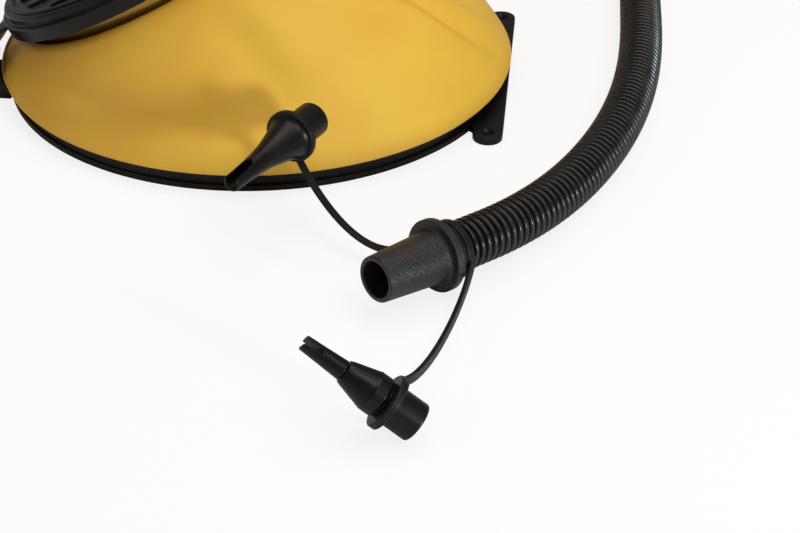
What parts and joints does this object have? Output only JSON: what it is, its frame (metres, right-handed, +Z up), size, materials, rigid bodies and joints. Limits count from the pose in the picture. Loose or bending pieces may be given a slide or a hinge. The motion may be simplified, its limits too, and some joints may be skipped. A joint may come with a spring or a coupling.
{
  "type": "bellows foot pump",
  "caption": "Wedge-shaped bellows foot pump with a hinged tread plate, a foot bar with screw ears, and a ribbed hose ending in a nozzle with strap-held valve adapters.",
  "frame": {"origin": "centre of the round base plate at floor level", "axes": "+X from the hinge towards the foot bar, +Y towards the hose outlet, +Z up"},
  "size_m": [0.4102, 0.6735, 0.1296],
  "materials": {
    "black_plastic": "fine satin moulded plastic",
    "yellow_pvc": "satin flexible PVC",
    "hose_black": "semi-gloss ribbed polyethylene",
    "strap_black": "satin flexible plastic",
    "black_rubber": "matt rubber",
    "zinc_steel": "zinc plated"
  },
  "bodies": {
    "base": {"base_plate": "black_plastic", "base_hem_ring": "black_plastic", "bellows_skirt": "yellow_pvc", "return_spring": "zinc_steel", "hinge_pin": "zinc_steel", "hinge_pin_washer": "zinc_steel", "outlet_valve_box": "black_plastic", "base_ring_screw_1": "zinc_steel", "base_ring_screw_2": "zinc_steel", "base_ring_screw_3": "zinc_steel", "base_ring_screw_4": "zinc_steel", "base_ring_screw_5": "zinc_steel", "base_ring_screw_6": "zinc_steel"},
    "top": {"top_plate": "black_plastic", "top_hem_ring": "black_plastic", "intake_flap_clip": "black_plastic", "top_ring_screw_1": "zinc_steel", "top_ring_screw_2": "zinc_steel", "top_ring_screw_3": "zinc_steel", "top_ring_screw_4": "zinc_steel", "top_ring_screw_5": "zinc_steel", "top_ring_screw_6": "zinc_steel"},
    "intake_valve": {"intake_flap": "black_rubber"},
    "outlet_valve": {"outlet_flap": "black_rubber"},
    "hose_line": {"hose": "hose_black", "hose_cuff": "black_plastic"},
    "nozzle": {"hose_nozzle": "black_plastic"},
    "strap_a_arm": {"strap_a": "strap_black"},
    "adapter_a_plug": {"adapter_a": "black_plastic"},
    "strap_b_arm": {"strap_b": "strap_black"},
    "adapter_b_plug": {"adapter_b_body": "black_plastic", "adapter_b_tip": "black_plastic"}
  },
  "joints": [
    {"name": "top_hinge", "type": "hinge", "parent": "base", "child": "top", "pos_m": [-0.158, 0, 0.018], "axis": [0, 1, 0], "range_deg": [0, 26], "stiffness_Nm_per_rad": 3, "deforming": ["bellows_skirt", "return_spring"]},
    {"name": "intake_flap_open", "type": "hinge", "parent": "top", "child": "intake_valve", "pos_m": [-0.03182, 0, 0.09927], "axis": [0, 1, 0], "range_deg": [0, 20]},
    {"name": "outlet_flap_open", "type": "hinge", "parent": "base", "child": "outlet_valve", "pos_m": [0, 0.0368, 0.0185], "axis": [1, 0, 0], "range_deg": [0, 30]},
    {"name": "hose_swivel", "type": "hinge", "parent": "base", "child": "hose_line", "pos_m": [0, 0.178, 0.0162], "axis": [0, -1, 0], "range_deg": [0, 40]},
    {"name": "nozzle_spin", "type": "hinge", "parent": "hose_line", "child": "nozzle", "pos_m": [0.12742, -0.2271, 0.01887], "axis": [-0.6749, -0.7339, 0.0764], "continuous": true},
    {"name": "strap_a_turn", "type": "hinge", "parent": "hose_line", "child": "strap_a_arm", "pos_m": [0.12742, -0.2271, 0.01887], "axis": [0.6749, 0.7339, -0.0764], "range_deg": [-12, 60]},
    {"name": "adapter_a_spin", "type": "hinge", "parent": "strap_a_arm", "child": "adapter_a_plug", "pos_m": [0.0471, -0.1667, 0.0461], "axis": [-0.3972, -0.9178, 0], "continuous": true},
    {"name": "strap_b_turn", "type": "hinge", "parent": "hose_line", "child": "strap_b_arm", "pos_m": [0.12742, -0.2271, 0.01887], "axis": [-0.6749, -0.7339, 0.0764], "range_deg": [0, 60]},
    {"name": "adapter_b_spin", "type": "hinge", "parent": "strap_b_arm", "child": "adapter_b_plug", "pos_m": [0.1164, -0.3413, 0.0173], "axis": [-0.8023, 0.0646, 0.5934], "continuous": true}
  ]
}
